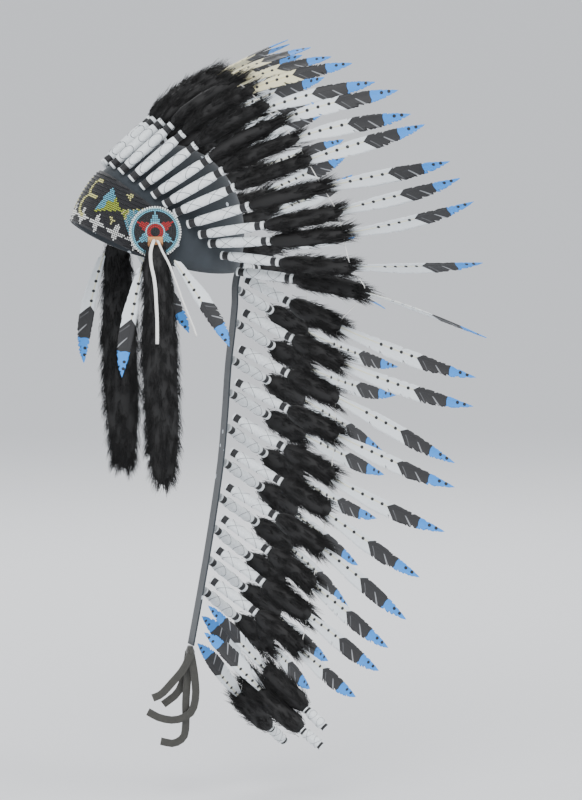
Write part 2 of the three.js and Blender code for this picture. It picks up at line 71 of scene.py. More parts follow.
# Floor and light. A pale floor lies below the hanging bonnet, and three large soft lamps and a pale
# sky light it as in a studio.
FLOOR_BELOW = 0.05
FLOOR_COLOUR = (0.82, 0.83, 0.85, 1)
SKY_COLOUR = (0.95, 0.97, 1.0, 1)
LIT_MIDDLE = Vector((0.1, 0, -0.15))
LAMPS = [  # place, width in metres and watts of the key, the fill and the back lamp
    ((-1.2, -3.0, 2.2), 2.0, 95),
    ((2.4, -2.2, 1.0), 2.0, 45),
    ((0.6, 2.8, 2.0), 2.5, 60),
]
bpy.ops.mesh.primitive_plane_add(size=60, location=(0, 0, cad_box[0][2] - FLOOR_BELOW))
floor = bpy.context.object
floor.name = "studio_floor"
floor_paint = bpy.data.materials.new("pale_floor")
floor_paint.use_nodes = True
floor_shader = floor_paint.node_tree.nodes["Principled BSDF"]
floor_shader.inputs["Base Color"].default_value = FLOOR_COLOUR
floor_shader.inputs["Roughness"].default_value = 0.9
floor.data.materials.append(floor_paint)

world = bpy.data.worlds.new("studio")
world.use_nodes = True
world.node_tree.nodes["Background"].inputs["Color"].default_value = SKY_COLOUR
world.node_tree.nodes["Background"].inputs["Strength"].default_value = 1.0
bpy.context.scene.world = world

for place, size, power in LAMPS:
    bpy.ops.object.light_add(type="AREA", location=place)
    lamp = bpy.context.object
    lamp.data.size = size
    lamp.data.energy = power
    lamp.rotation_euler = (LIT_MIDDLE - Vector(place)).to_track_quat("-Z", "Y").to_euler()


# Laces. Soft white leather thongs, knotted at the tab below each rosette, whose free ends hang down
# over the fur: two on the left, one on the right. Each is a closed tube along its own route.
class Paint:
    """A shader socket that is added to, multiplied and compared as a number is."""

    def __init__(self, tree, socket):
        self.tree = tree
        self.socket = socket

    def make(self, kind, settings, inputs, output=0):
        node = self.tree.nodes.new("ShaderNode" + kind)
        for name, value in settings.items():
            setattr(node, name, value)
        for name, value in inputs.items():
            if isinstance(value, Paint):
                self.tree.links.new(value.socket, node.inputs[name])
            else:
                node.inputs[name].default_value = value
        return Paint(self.tree, node.outputs[output])

    def maths(self, operation, *values):
        return self.make("Math", {"operation": operation}, dict(enumerate(values)))

    def __add__(self, other):
        return self.maths("ADD", self, other)

    def __sub__(self, other):
        return self.maths("SUBTRACT", self, other)

    def __rsub__(self, other):
        return self.maths("SUBTRACT", other, self)

    def __mul__(self, other):
        return self.maths("MULTIPLY", self, other)

    def __gt__(self, other):
        return self.maths("GREATER_THAN", self, other)

    def __lt__(self, other):
        return self.maths("LESS_THAN", self, other)

    __radd__ = __add__
    __rmul__ = __mul__

    def between(self, low, high):
        """0 below low and 1 above high, with a soft step between them."""
        limits = {"Value": self, "From Min": low, "From Max": high}
        return self.make("MapRange", {"interpolation_type": "SMOOTHSTEP"}, limits)

    def blend(self, first, second):
        """The first colour where this is 0 and the second where it is 1."""
        colours = {0: self, 6: first, 7: second}
        return self.make("Mix", {"data_type": "RGBA"}, colours, output=2)

    def noise(self, scale, detail=3.0):
        return self.make("TexNoise", {}, {"Vector": self, "Scale": scale, "Detail": detail})


class Finish:
    """A material whose sockets are filled from expressions."""

    def __init__(self, name, **sockets):
        self.material = bpy.data.materials.new(name)
        self.material.use_nodes = True
        self.tree = self.material.node_tree
        self.shader = self.tree.nodes["Principled BSDF"]
        for socket, value in sockets.items():
            self.shader.inputs[socket.replace("_", " ")].default_value = value
        self.place = Paint(self.tree, self.tree.nodes.new("ShaderNodeTexCoord").outputs["Object"])

    def fill(self, socket, paint):
        self.tree.links.new(paint.socket, self.shader.inputs[socket])

    def bump(self, height, strength, distance):
        inputs = {"Height": height, "Strength": strength, "Distance": distance}
        self.fill("Normal", self.place.make("Bump", {}, inputs))


def mesh_piece(name, points, faces, material, smooth=True):
    mesh = bpy.data.meshes.new(name)
    mesh.from_pydata(np.asarray(points).tolist(), [], [list(face) for face in faces])
    mesh.materials.append(material)
    mesh.polygons.foreach_set("use_smooth", [smooth] * len(mesh.polygons))
    mesh.update()
    piece = bpy.data.objects.new(name, mesh)
    bpy.context.collection.objects.link(piece)
    return piece


def settle(piece, slot, *nodes):
    """The piece rides on the bonnet's one body and stands for its nodes. Its slot is not used."""
    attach(piece, "root")
    if nodes:
        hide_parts(*nodes)


def smooth_route(points, steps):
    """Points along a Catmull-Rom curve through the given ones."""
    ends = np.vstack([2 * points[0] - points[1], points, 2 * points[-1] - points[-2]])
    out = []
    for i in range(len(points) - 1):
        a, b, c, d = ends[i:i + 4]
        for t in np.arange(steps) / steps:
            out.append(0.5 * (2 * b + (c - a) * t + (2 * a - 5 * b + 4 * c - d) * t**2
                              + (3 * b - a - 3 * c + d) * t**3))
    return np.array(out + [points[-1]])


def tube(route, radii, sides=10, across=(0, 1, 0.2)):
    """Points and faces of a closed tube along a route, with a radius at each point."""
    tangents = np.gradient(route, axis=0)
    tangents /= np.linalg.norm(tangents, axis=1)[:, None]
    side = np.cross(tangents, across)
    side /= np.linalg.norm(side, axis=1)[:, None]
    up = np.cross(side, tangents)
    turns = np.arange(sides) / sides * 2 * math.pi
    radii = np.broadcast_to(radii, len(route))
    ring = np.cos(turns)[None, :, None] * side[:, None] + np.sin(turns)[None, :, None] * up[:, None]
    points = (route[:, None] + ring * radii[:, None, None]).reshape(-1, 3)
    faces = []
    for i in range(len(route) - 1):
        for j in range(sides):
            k = (j + 1) % sides
            faces.append((i * sides + k, i * sides + j, (i + 1) * sides + j, (i + 1) * sides + k))
    faces.append(range(sides))
    faces.append(range(len(route) * sides - 1, (len(route) - 1) * sides - 1, -1))
    return points, faces


leather = Finish("white_leather", Roughness=0.75)
leather_mottle = leather.place.noise(220)
leather.fill("Base Color", leather_mottle.blend((0.83, 0.82, 0.78, 1), (0.93, 0.93, 0.91, 1)))
leather.bump(leather_mottle, 0.4, 0.0006)

MM = 0.001
LACES = {  # diameter in metres, and places along the thong in millimetres from its knot
    "lace_left_front": (0.0042, [
        (-2, 0.4, 0), (-2.8, -3.4, 1), (-4.6, -7.2, -1), (-7.5, -10.5, -7), (-9.2, -13.5, -15),
        (-9.2, -17.6, -27), (-6.8, -20.8, -41), (-5.3, -22.8, -56), (-4.7, -24, -72),
        (-4, -25, -90), (-4, -26, -105), (-4.3, -27, -120)]),
    "lace_left_back": (0.0028, [
        (2, -0.5, 0), (1.3, -4, 1), (2.2, -7.4, -1), (4.2, -10, -7), (7, -12.4, -14), (11.5, -15, -23),
        (16, -16.8, -34), (20, -17, -45), (24.5, -15.5, -56), (29.5, -13, -69), (37, -10.5, -86),
        (43.5, -9, -101), (48, -8.5, -113)]),
}
LACES["lace_right_front"] = LACES["lace_left_front"]


def node_points(node):
    """The separate corners of a node, without the doubles of its loose triangles."""
    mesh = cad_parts[node].data
    points = np.empty(len(mesh.vertices) * 3)
    mesh.vertices.foreach_get("co", points)
    return np.unique(points.reshape(-1, 3).round(6), axis=0)


lace_points = node_points("lace_left_front")
lowest_ring = lace_points[np.argsort(lace_points[:, 2])][:8]
lace_exit = lowest_ring.mean(axis=0) - np.array(LACES["lace_left_front"][1][-1]) * MM
for name, (diameter, rows) in LACES.items():
    route = smooth_route(np.array(rows) * MM, 3) + lace_exit
    if "right" in name:
        route = route * (1, -1, 1)
    lace = mesh_piece(name + "_thong", *tube(route, diameter / 2), leather.material)
    settle(lace, "white_lace", name)

# Cap. A dark slate cloth dome, open below and printed with small pale stars, that the crown feathers
# are laced round. It is one sewn shell with a turned rim.
HEAD = {"length": 0.1045, "width": 0.082, "height": 0.121}
RIM_TILT = math.radians(19)
SIDE_DIP = 0.008
RIM = {"front": 3.5, "side": 6}
CAP_WALL = 0.002


def on_head(turn_round, rise, out=0.0):
    """Points on the cap: round from the forehead over the left ear, rise from the opening to the top."""
    around = np.radians(turn_round)
    up = np.radians(rise)
    forward = (HEAD["length"] + out) * np.cos(up) * np.cos(around)
    left = (HEAD["width"] + out) * np.cos(up) * np.sin(around)
    height = (HEAD["height"] + out) * np.sin(up) - SIDE_DIP * np.sin(around)**2 * np.cos(up)
    back = height * math.sin(RIM_TILT) - forward * math.cos(RIM_TILT)
    raised = height * math.cos(RIM_TILT) + forward * math.sin(RIM_TILT)
    return np.stack(np.broadcast_arrays(back, -left, raised), -1)


def rim_rise(turn_round):
    around = np.radians(turn_round)
    return -RIM["side"] * np.sin(around)**2 - RIM["front"] * np.maximum(np.cos(around), 0)**2


def crown_rise(turn_round):
    """The rise of the slanting line that the crown is sewn along."""
    front = (-0.060, 0.092)
    back = (0.098, -0.044)
    slope = (back[1] - front[1]) / (back[0] - front[0])
    rises = np.linspace(0, 60, 601)
    line = on_head(turn_round, rises)
    below = line[:, 2] < front[1] + slope * (line[:, 0] - front[0])
    return rises[below].max()


def sheet_faces(rows, columns, closed=False):
    """Faces of a grid of points, laid row by row, that may close on itself across."""
    faces = []
    for i in range(rows - 1):
        for j in range(columns if closed else columns - 1):
            k = (j + 1) % columns
            faces.append((i * columns + j, i * columns + k, (i + 1) * columns + k, (i + 1) * columns + j))
    return faces


def finish_shell(piece, wall, offset=-1):
    """Gives a sheet its wall, with its outer side where it was, and turns all faces outwards."""
    bpy.ops.object.select_all(action="DESELECT")
    bpy.context.view_layer.objects.active = piece
    piece.select_set(True)
    bpy.ops.object.mode_set(mode="EDIT")
    bpy.ops.mesh.select_all(action="SELECT")
    bpy.ops.mesh.remove_doubles(threshold=1e-6)
    bpy.ops.mesh.normals_make_consistent(inside=False)
    bpy.ops.object.mode_set(mode="OBJECT")
    thicken = piece.modifiers.new("wall", "SOLIDIFY")
    thicken.thickness = wall
    thicken.offset = offset
    bpy.ops.object.modifier_apply(modifier="wall")


cloth = Finish("slate_cloth", Roughness=0.92, Sheen_Weight=0.2)
weave = cloth.place.make("TexWave", {"bands_direction": "Z"}, {"Vector": cloth.place, "Scale": 420.0})
star_cells = cloth.place.make("TexVoronoi", {}, {"Vector": cloth.place, "Scale": 42.0, "Randomness": 0.7})
stars = star_cells < 0.13
shade = cloth.place.noise(60).blend((0.022, 0.028, 0.034, 1), (0.036, 0.045, 0.055, 1))
cloth.fill("Base Color", stars.blend(shade, (0.62, 0.68, 0.75, 1)))
cloth.bump(weave, 0.3, 0.0003)

ROUND_STEPS = 72
cap_rows = [86, 78, 70, 62, 54, 46, 38, 30, 22, 14, 7, 0, None]
rounds = np.arange(ROUND_STEPS) / ROUND_STEPS * 360
dome = [on_head(0, 90)[None]]
for rise in cap_rows:
    dome.append(on_head(rounds, rim_rise(rounds) if rise is None else rise))
cap_faces = [(0, 1 + (j + 1) % ROUND_STEPS, 1 + j) for j in range(ROUND_STEPS)]
cap_faces += [[i + 1 for i in face] for face in sheet_faces(len(cap_rows), ROUND_STEPS, closed=True)]
cap = mesh_piece("cap_dome", np.vstack(dome), cap_faces, cloth.material)
finish_shell(cap, CAP_WALL)
settle(cap, "cap_cloth", "cap")

# Browband. A strip of black cloth over the forehead, from temple to temple, sewn all over with rows of
# small glass beads: light blue and yellow-green triangles on black, and white crosses along its edge.
BAND = {"gap": 0.0014, "wall": 0.0024, "below_tubes": 4.2}
BEAD = {"pitch": 0.0023, "radius": 0.00105, "rows": 40, "lowest_rise": -6, "row_rise": 1.08}
BLACK = (0.008, 0.009, 0.011)
SKY = (0.16, 0.50, 0.66)
LIME = (0.42, 0.50, 0.05)
STRAW = (0.72, 0.70, 0.28)
WHITE = (0.86, 0.87, 0.85)
PALE_SKY = (0.45, 0.70, 0.80)
RED = (0.50, 0.02, 0.02)

rounds = np.arange(-90, 91, 3)
ring_rows = []
for turn_round in rounds:
    low = rim_rise(turn_round)
    top = crown_rise(turn_round) - BAND["below_tubes"]
    ring_rows.append(on_head(turn_round, np.linspace(low, top, 9), BAND["gap"] + BAND["wall"] * 0.75))
black_cloth = Finish("black_cloth", Roughness=0.9, Sheen_Weight=0.25)
black_fuzz = black_cloth.place.noise(500)
black_cloth.fill("Base Color", black_fuzz.blend((0.006, 0.006, 0.008, 1), (0.02, 0.02, 0.024, 1)))
black_cloth.bump(black_fuzz, 0.3, 0.0003)
band_faces = sheet_faces(len(rounds), 9)
band = mesh_piece("browband_cloth", np.vstack(ring_rows), band_faces, black_cloth.material)
finish_shell(band, BAND["wall"] * 0.75)
settle(band, "browband_beads", "browband")


def inside(point, corners):
    """True if a point lies in a triangle."""
    signs = []
    for i in range(3):
        a = corners[i]
        b = corners[(i + 1) % 3]
        signs.append((b[0] - a[0]) * (point[1] - a[1]) - (b[1] - a[1]) * (point[0] - a[0]))
    return min(signs) >= 0 or max(signs) <= 0


def band_colour(spot):
    """The bead colour at (degrees round, degrees of rise) on either side of the band."""
    x = abs(spot[0])
    y = spot[1]
    if inside((x, y), ((33.5, 23), (27.5, 6), (49.5, 12.5))):
        if x + 0.35 * y > 46.5 or y < 6.4 + 0.29 * (x - 27) + 1:
            return LIME
        return LIME if abs(x - 39) < 3.4 and abs(y - 12) < 3.6 else SKY
    if inside((x, y), ((48.5, 13), (66, 19), (60.5, 2))):
        if y > 12.4 + 0.34 * (x - 48.5) or y > 13 - 0.92 * (x - 50.5) - 3 and x < 54.5:
            return LIME if int(x / 1.4) % 2 else STRAW
        return SKY if int((x + y) / 1.5) % 3 else PALE_SKY
    for corners in (((47, 22.5), (53, 24), (52, 19)), ((42, 7.5), (47.5, 6.5), (46.5, 2.5))):
        if inside((x, y), corners):
            return STRAW
    if abs(y - 14.5) < 1.1 and 15 < x < 25 or abs(math.hypot((x - 18) / 1.4, y - 19) - 5) < 0.9 and x < 21:
        return STRAW
    if abs(math.hypot((x - 17) / 1.5, y - 8) - 6) < 0.9 and x < 18:
        return STRAW
    for middle in (0, 17, 34, 51, 66):
        along = (x - middle) * 1.45
        up = (y - rim_rise(middle) - 5.2) * 2.1
        reach = math.hypot(along, up)
        slant = abs(math.sin(2 * math.atan2(up, along + 0.01)))
        if reach < 11 * (1 - 0.72 * slant) + 1:
            return WHITE
    return BLACK


def bead_shape(sides=6):
    """A small round bead that stands on +Z: two rings, a top and a flat foot."""
    turns = np.arange(sides) / sides * 2 * math.pi
    ring = np.stack([np.cos(turns), np.sin(turns), np.zeros(sides)], -1)
    points = np.vstack([ring * 0.8, ring + (0, 0, 0.7), ring * 0.62 + (0, 0, 1.3), [(0, 0, 1.5)]])
    faces = sheet_faces(3, sides, closed=True)
    faces += [(2 * sides + j, 2 * sides + (j + 1) % sides, 3 * sides) for j in range(sides)]
    faces.append(range(sides - 1, -1, -1))
    return points, faces


def beadwork(name, spots, material):
    """Beads as one mesh. Each spot is a place, the way out, a radius and a colour."""
    shape, shape_faces = bead_shape()
    points = []
    faces = []
    colours = []
    for place, out, radius, colour in spots:
        first = len(points) * len(shape)
        side = np.cross(out, (0.3, 0.1, 1))
        side /= np.linalg.norm(side)
        points.append(place + radius * shape @ np.array([side, np.cross(out, side), out]))
        faces += [[first + i for i in face] for face in shape_faces]
        colours += [colour] * len(shape_faces)
    piece = mesh_piece(name, np.vstack(points), faces, material)
    dye_faces(piece, colours)
    return piece


def dye_faces(piece, colours):
    """Stores a colour for each face, at its corners."""
    counts = [len(face.vertices) for face in piece.data.polygons]
    corner_colours = np.repeat(np.c_[np.array(colours), np.ones(len(colours))], counts, axis=0)
    layer = piece.data.attributes.new("dye", "FLOAT_COLOR", "CORNER")
    layer.data.foreach_set("color", corner_colours.ravel())


def dyed_finish(name, **sockets):
    """A finish whose colour is the mesh's own dye, slightly uneven."""
    finish = Finish(name, **sockets)
    dye = finish.place.make("Attribute", {"attribute_name": "dye"}, {})
    uneven = finish.place.noise(400)
    dull = dye.make("HueSaturation", {}, {"Color": dye, "Value": uneven * 0.5 + 0.75})
    finish.fill("Base Color", dull)
    finish.bump(uneven, 0.15, 0.0003)
    return finish


glass = dyed_finish("glass_beads", Roughness=0.22, Coat_Weight=0.4)
spots = []
for rise_step in range(BEAD["rows"]):
    rise = BEAD["lowest_rise"] + rise_step * BEAD["row_rise"]
    turn_round = -89.0
    while turn_round < 89:
        top = crown_rise(turn_round) - BAND["below_tubes"] - 0.6
        if rim_rise(turn_round) + 0.4 < rise < top:
            place = on_head(turn_round, rise, BAND["gap"] + BAND["wall"] * 0.72)
            out = on_head(turn_round, rise, 0.001) - on_head(turn_round, rise, 0)
            colour = band_colour((turn_round, rise))
            if colour is not BLACK or rise_step % 2:
                spots.append((place, out / np.linalg.norm(out), BEAD["radius"], colour))
        step = on_head(turn_round + 1, rise) - on_head(turn_round, rise)
        turn_round += BEAD["pitch"] / np.linalg.norm(step)
band_beads = beadwork("browband_beads", spots, glass.material)
settle(band_beads, "browband_beads", "browband")


# Wrapped quills. Each feather's quill is wound with white cloth that bulges a little, bound by a black
# band at either end beside a white ring, and crossed by loops of thin dark thread.
class Feather:
    """The line of one feather, read from its solid: a straight quill and then a bent blade."""

    def __init__(self, node):
        points = node_points(node)
        far = points[np.argmax(np.linalg.norm(points - points.mean(axis=0), axis=1))]
        near = points[np.argmax(np.linalg.norm(points - far, axis=1))]
        beside = [(np.linalg.norm(points - end, axis=1) < 0.011).sum() for end in (far, near)]
        tip = far if beside[0] < beside[1] else near
        base = points[np.argsort(-np.linalg.norm(points - tip, axis=1))[:8]].mean(axis=0)
        order = np.argsort((points - base) @ (tip - base))
        rings = points[order]
        self.end = rings[16:24].mean(axis=0)
        self.quill = np.linalg.norm(self.end - base)
        self.along = (self.end - base) / self.quill
        self.tip = tip
        reach = np.linalg.norm(tip - self.end)
        self.bend = self.end + self.along * reach * 0.45
        samples = self.curve(np.linspace(0, 1, 60))
        steps = np.linalg.norm(np.diff(samples, axis=0), axis=1)
        self.lengths = np.concatenate([[0], np.cumsum(steps)])
        self.length = self.lengths[-1]
        ring = rings[64:72]
        middle = ring.mean(axis=0)
        spread = np.linalg.svd(ring - middle)[2][0]
        shift = middle - samples[np.argmin(np.linalg.norm(samples - middle, axis=1))]
        self.wide = spread if spread @ shift > 0 else -spread

    def curve(self, t):
        t = t[:, None]
        return (1 - t)**2 * self.end + 2 * t * (1 - t) * self.bend + t**2 * self.tip

    def place(self, points, sway=0.0):
        """Points along, across and through the feather, in metres from the quill's end, put in place."""
        u = points[:, 0]
        t = np.interp(u, self.lengths, np.linspace(0, 1, 60))
        centre = self.curve(t)
        tangent = 2 * (1 - t)[:, None] * (self.bend - self.end) + 2 * t[:, None] * (self.tip - self.bend)
        tangent /= np.linalg.norm(tangent, axis=1)[:, None]
        straight = (u < 0)[:, None]
        tangent = np.where(straight, self.along, tangent)
        over = np.maximum(u - self.length, 0) + np.minimum(u, 0)
        centre = centre + tangent * over[:, None]
        across = self.wide - tangent * (tangent @ self.wide)[:, None]
        across /= np.linalg.norm(across, axis=1)[:, None]
        through = np.cross(tangent, across)
        wave = sway * np.sin(np.clip(u / self.length, 0, 1) * math.pi)
        return centre + across * (points[:, 1] + wave)[:, None] + through * points[:, 2:3]


def laid_copy(master, name, feather, scale=(1, 1, 1), sway=0.0):
    """A copy of a straight master, with a mesh of its own, laid along one feather."""
    piece = master.copy()
    piece.data = master.data.copy()
    piece.name = name
    piece.data.name = name
    bpy.context.collection.objects.link(piece)
    points = np.empty(len(piece.data.vertices) * 3)
    piece.data.vertices.foreach_get("co", points)
    points = feather.place(points.reshape(-1, 3) * scale, sway)
    piece.data.vertices.foreach_set("co", points.ravel())
    piece.data.update()
    return piece


QUILL = 0.080
QUILL_PROFILE = [  # share of the way from the upper end, radius in millimetres, and whether it is black
    (-1.000, 4.2, 0), (-0.998, 5.1, 0), (-0.970, 5.2, 0), (-0.966, 4.7, 1), (-0.945, 5.0, 1),
    (-0.925, 4.7, 1), (-0.905, 5.0, 1), (-0.885, 4.7, 1), (-0.868, 4.7, 1), (-0.860, 5.2, 0),
    (-0.820, 5.7, 0), (-0.700, 6.0, 0), (-0.500, 6.1, 0), (-0.300, 6.0, 0), (-0.190, 5.7, 0),
    (-0.150, 5.2, 0), (-0.142, 4.7, 1), (-0.125, 5.0, 1), (-0.105, 4.7, 1), (-0.085, 5.0, 1),
    (-0.062, 4.7, 1), (-0.054, 4.7, 1), (-0.050, 5.4, 0), (-0.005, 5.4, 0), (0.000, 4.4, 0),
]
WRAP_SIDES = 16
WRAP_WHITE = (0.80, 0.84, 0.86)
WRAP_BLACK = (0.01, 0.01, 0.012)
THREAD_COLOUR = (0.02, 0.03, 0.05)
turns = np.arange(WRAP_SIDES) / WRAP_SIDES * 2 * math.pi
wrap_points = []
for share, radius, dark in QUILL_PROFILE:
    ring = np.stack([np.full(WRAP_SIDES, share * QUILL), np.cos(turns) * radius * MM,
                     np.sin(turns) * radius * MM], -1)
    wrap_points.append(ring)
wrap_points = [np.vstack(wrap_points)]
wrap_faces = [face[::-1] for face in sheet_faces(len(QUILL_PROFILE), WRAP_SIDES, closed=True)]
wrap_dyes = []
for i in range(len(QUILL_PROFILE) - 1):
    black = QUILL_PROFILE[i][2] and QUILL_PROFILE[i + 1][2]
    wrap_dyes += [WRAP_BLACK if black else WRAP_WHITE] * WRAP_SIDES
wrap_faces.append(list(range(WRAP_SIDES)))
last_corner = len(QUILL_PROFILE) * WRAP_SIDES - 1
wrap_faces.append(list(range(last_corner, last_corner - WRAP_SIDES, -1)))
wrap_dyes += [WRAP_WHITE] * 2
LOOP = {"steps": 20, "crossings": (-0.70, -0.33), "radius": 6.15 * MM, "reach": 0.0095, "turn": 0.6}
THREAD = {"raised": 0.0003, "half_width": 0.00036}
for crossing in LOOP["crossings"]:
    for slant in (-1, 1):
        loop_turns = np.arange(LOOP["steps"]) / LOOP["steps"] * 2 * math.pi
        loop = np.stack([(crossing * QUILL) + slant * LOOP["reach"] * np.cos(loop_turns + LOOP["turn"]),
                         LOOP["radius"] * np.cos(loop_turns), LOOP["radius"] * np.sin(loop_turns)], -1)
        first = sum(len(block) for block in wrap_points)
        outward = loop - loop * (1, 0, 0)
        outward /= np.linalg.norm(outward, axis=1)[:, None]
        beside = np.array((THREAD["half_width"], 0, 0))
        thread = [loop + outward * THREAD["raised"], loop + beside, loop - beside]
        wrap_points.append(np.stack(thread, 1).reshape(-1, 3))
        for i in range(LOOP["steps"]):
            n = (i + 1) % LOOP["steps"]
            for j in range(3):
                k = (j + 1) % 3
                wrap_faces.append([first + i * 3 + j, first + n * 3 + j, first + n * 3 + k, first + i * 3 + k])
                wrap_dyes.append(THREAD_COLOUR)
wound_cloth = dyed_finish("wound_cloth", Roughness=0.7, Sheen_Weight=0.15)
wrap_master = mesh_piece("wrap_master", np.vstack(wrap_points), wrap_faces, wound_cloth.material)
dye_faces(wrap_master, wrap_dyes)

# Fluffs. A tuft of black fur sits over each quill's end and hides the root of the feather: a dark core
# with locks of hair that lie along the feather, ragged at the far end. Three straight tufts of each
# size are made once, copied to every feather and laid along it.
black_fur = Finish("black_fur", Roughness=0.7)
fur_shade = black_fur.place.noise(90)
black_fur.fill("Base Color", fur_shade.blend((0.002, 0.002, 0.0025, 1), (0.007, 0.0065, 0.0065, 1)))


def hair_tuft(rng, length, half_width, half_depth, locks, hairs, hair):
    """Points and faces of a core and its locks, along +X. Each hair is a thin closed spike."""
    sides = 12
    gather = 0.55
    profile = [(0, 0.34), (0.06, 0.62), (0.2, 0.86), (0.45, 0.9), (0.75, 0.88), (0.93, 0.66), (1.0, 0.25)]
    turns = np.arange(sides) / sides * 2 * math.pi
    core = [np.stack([np.full(sides, share * length), np.cos(turns) * half_width * wide,
                      np.sin(turns) * half_depth * wide], -1) for share, wide in profile]
    points = [np.vstack(core)]
    faces = [face[::-1] for face in sheet_faces(len(profile), sides, closed=True)]
    faces.append(list(range(sides)))
    faces.append(list(range(len(profile) * sides - 1, (len(profile) - 1) * sides - 1, -1)))
    first = len(points[0])
    shares, widths = zip(*profile)
    for _ in range(locks):
        share = rng.uniform(0.0, 0.97)
        turn_round = rng.uniform(0, 2 * math.pi)
        out = np.array([0, math.cos(turn_round), math.sin(turn_round)])
        wide = np.interp(share, shares, widths)
        reach = hair * rng.uniform(0.7, 1.25) * (1.0 + 0.5 * (share > 0.8))
        root = np.array([share * length, out[1] * half_width * wide, out[2] * half_depth * wide])
        lean = rng.uniform(0.1, 0.42) * (1.25 - 0.5 * share)
        lock_tip = root + reach * np.array([math.cos(lean), out[1] * math.sin(lean), out[2] * math.sin(lean)])
        for _ in range(hairs):
            scatter = np.array([rng.gauss(0, 0.0028), rng.gauss(0, 0.0018), rng.gauss(0, 0.0018)])
            start = root + scatter - out * 0.0012
            stray = np.array([rng.gauss(0, 0.0022), rng.gauss(0, 0.0016), rng.gauss(0, 0.0016)])
            end = lock_tip + scatter * (1 - gather) + stray
            side = np.cross(end - start, out)
            side /= np.linalg.norm(side) + 1e-9
            half = rng.uniform(0.00028, 0.00046)
            points.append(np.array([start + side * half, start - side * half, start + out * half * 1.2, end]))
            faces += [[first, first + 2, first + 3], [first + 2, first + 1, first + 3],
                      [first + 1, first, first + 3], [first, first + 1, first + 2]]
            first += 4
    return np.vstack(points), faces


rng = random.Random(11)
LOCKS = 95
HAIRS_A_LOCK = 14
HAIR_LENGTH = 0.013
CROWN_FLUFF = {"length": 0.100, "half_width": 0.0098, "half_depth": 0.0122}
TRAIL_FLUFF = {"length": 0.070, "half_width": 0.0138, "half_depth": 0.0122}
fluff_masters = {}
for place_name, size in (("crown", CROWN_FLUFF), ("trail", TRAIL_FLUFF)):
    fluff_masters[place_name] = [
        mesh_piece(f"fluff_master_{place_name}_{i}", *hair_tuft(
            rng, size["length"], size["half_width"], size["half_depth"],
            LOCKS, HAIRS_A_LOCK, HAIR_LENGTH), black_fur.material)
        for i in range(3)]

# Blades. The feathers themselves are stiff and white, with the quill near the upper edge, four painted
# dots on it, a black stretch, and a sky-blue tip with two dots. Ragged barbs leave the edge uneven.
BLADE_ROWS = 84
BLADE_COLUMNS = (-1.0, -0.55, -0.12, 0.12, 0.45, 0.75, 1.0)
BARB_SLANT = 1.15
VANE = {"wide": 0.0126, "narrow": 0.0066, "half_thick": 0.00045}
MARK = {"tip": 0.034, "black": 0.078, "dot": 0.0021}
DOT_ROWS = (  # the first dot's way from the tip, how many follow it, and how far apart they are
    (MARK["black"] + 0.0065, 3, 0.0135),
    (0.0115, 1, 0.009),
)
MARK_BLACK = (0.012, 0.012, 0.014, 1)
MARK_BLUE = (0.03, 0.27, 0.80, 1)


def blade_shape(rng):
    """A unit-long vane with slanting barbs, a few splits and a raised quill. Widths are in metres."""
    points = []
    for i in range(BLADE_ROWS):
        share = i / (BLADE_ROWS - 1)
        body = min(1.0, 0.45 + 1.6 * share) * (1 - max(0.0, (share - 0.52) / 0.48)**2.1)
        ragged = 1 - abs(rng.gauss(0, 0.045 + 0.07 * (share > 0.62)))
        if rng.random() < 0.055:
            ragged *= rng.uniform(0.62, 0.85)
        for column in BLADE_COLUMNS:
            reach = VANE["wide"] if column > 0 else VANE["narrow"]
            edge = ragged if abs(column) == 1.0 else 1.0
            y = column * reach * body * edge
            slant = abs(y) * BARB_SLANT
            camber = -0.9 * abs(y) * abs(column) * 0.16
            points.append((share, y, camber, slant))
    return np.array(points)


# The second finish is the same white vane with painted warm lamp light: its white and quill colours are warmed
# to yellow.
feather_finishes = {}
for tint, white, quill_tint in (("white", (0.80, 0.84, 0.86, 1), (0.80, 0.78, 0.56, 1)),
                                ("lamp_warmed", (0.82, 0.76, 0.50, 1), (0.74, 0.66, 0.34, 1))):
    vane = Finish(f"{tint}_vane", Roughness=0.6, Sheen_Weight=0.15)
    marks = vane.place.make("UVMap", {"uv_map": "vane"}, {})
    from_tip = marks.make("SeparateXYZ", {}, {0: marks})
    across = Paint(vane.tree, from_tip.socket.node.outputs[1])
    barb = from_tip + across.maths("ABSOLUTE", across) * BARB_SLANT
    barb_place = marks.make("CombineXYZ", {}, {0: barb * 900.0, 1: across * 60.0})
    fine = barb_place.noise(1.0, 2.0)
    coarse = marks.make("CombineXYZ", {}, {0: barb * 160.0, 1: across * 25.0}).noise(1.0, 1.0)
    near_quill = 1 - across.maths("ABSOLUTE", across).between(0.0004, 0.0012)
    base = fine.blend((white[0] * 0.9, white[1] * 0.92, white[2] * 0.95, 1), white)
    base = (near_quill * 0.8).blend(base, quill_tint)
    black_edge = MARK["black"] + (coarse - 0.5) * 0.006
    is_black = barb < black_edge
    grey_streaks = coarse.between(0.6, 0.72) * (across > 0.001)
    dark = grey_streaks.blend((0.018, 0.018, 0.02, 1), (0.30, 0.31, 0.33, 1))
    painted = is_black.blend(base, dark)
    is_blue = from_tip < (MARK["tip"] + (coarse - 0.5) * 0.004)
    painted = is_blue.blend(painted, MARK_BLUE)
    for start, last, pitch in DOT_ROWS:
        steps = (from_tip - start) * (1 / pitch)
        nearest = steps.maths("ROUND", steps)
        nearest = nearest.maths("MINIMUM", nearest.maths("MAXIMUM", nearest, 0.0), float(last))
        offset = (steps - nearest) * pitch
        distance = offset.maths("SQRT", offset * offset + across * across)
        painted = (distance < MARK["dot"]).blend(painted, MARK_BLACK)
    vane.fill("Base Color", painted)
    vane.bump(fine, 0.5, 0.0005)
    feather_finishes[tint] = vane.material


